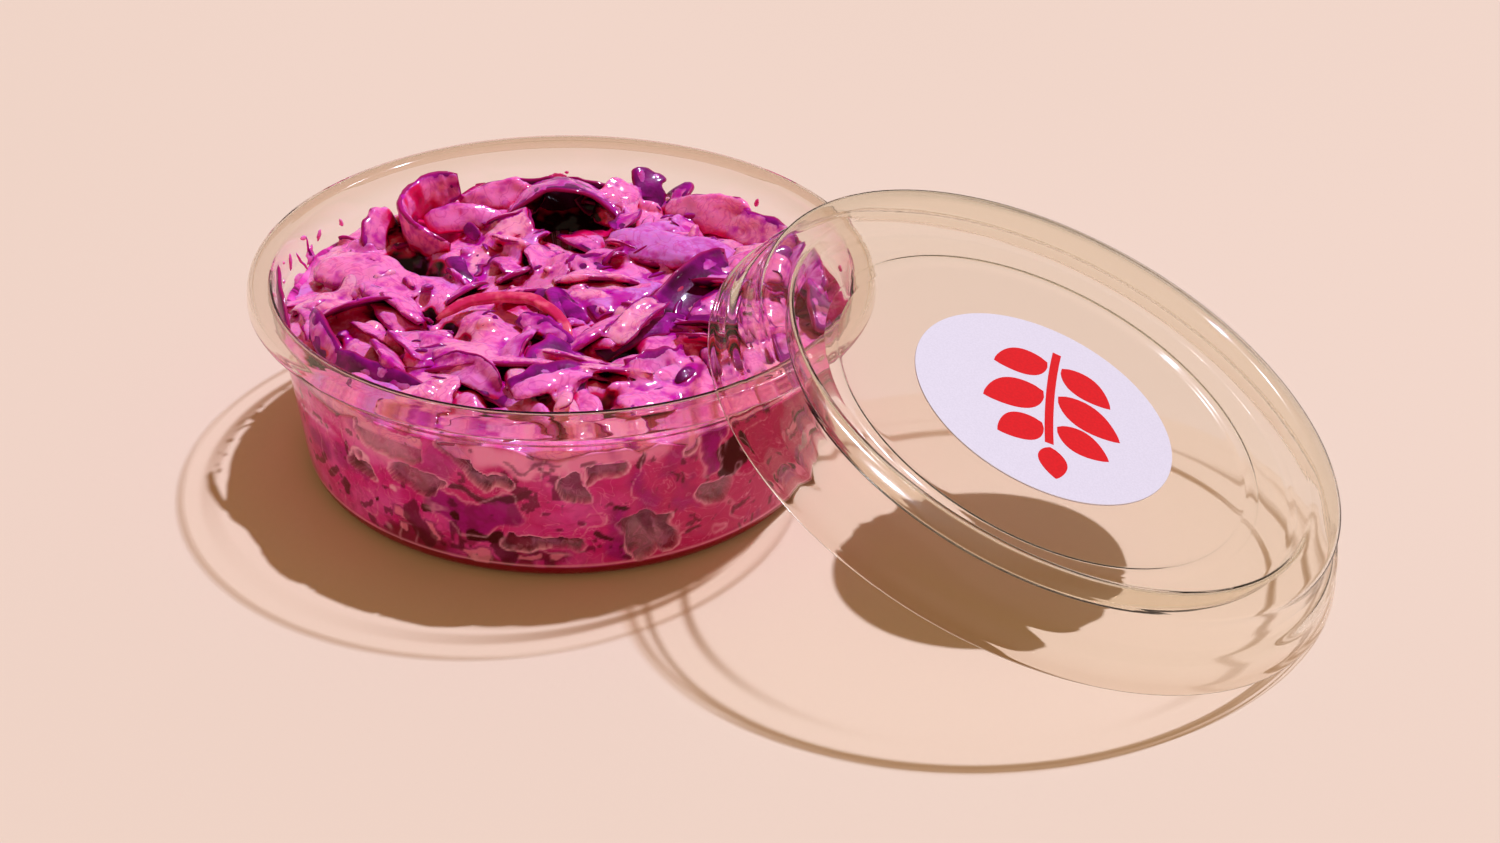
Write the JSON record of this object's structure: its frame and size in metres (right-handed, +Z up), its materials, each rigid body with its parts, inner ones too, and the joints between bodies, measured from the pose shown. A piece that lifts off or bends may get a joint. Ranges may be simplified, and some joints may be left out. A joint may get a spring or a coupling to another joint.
{
  "type": "red cabbage coleslaw in a clear deli pot",
  "caption": "Pink red-cabbage coleslaw filling a round clear plastic pot, with the pot's clear lid leaning on the rim.",
  "frame": {"origin": "centre of the tub's base, on the surface that it stands on", "axes": "+Z up; +X towards the side where the lid leans; +Y away from the shown front"},
  "size_m": [0.2034, 0.1502, 0.0525],
  "materials": {
    "tub": "clear thermoformed PET, glossy",
    "coleslaw": "wet, dressed shreds of red cabbage",
    "lid": "clear thermoformed PET, glossy",
    "label": "coated paper with a plain red print"
  },
  "bodies": {
    "root": {"tub": "tub", "coleslaw": "coleslaw", "lid": "lid", "label": "label"}
  },
  "joints": []
}
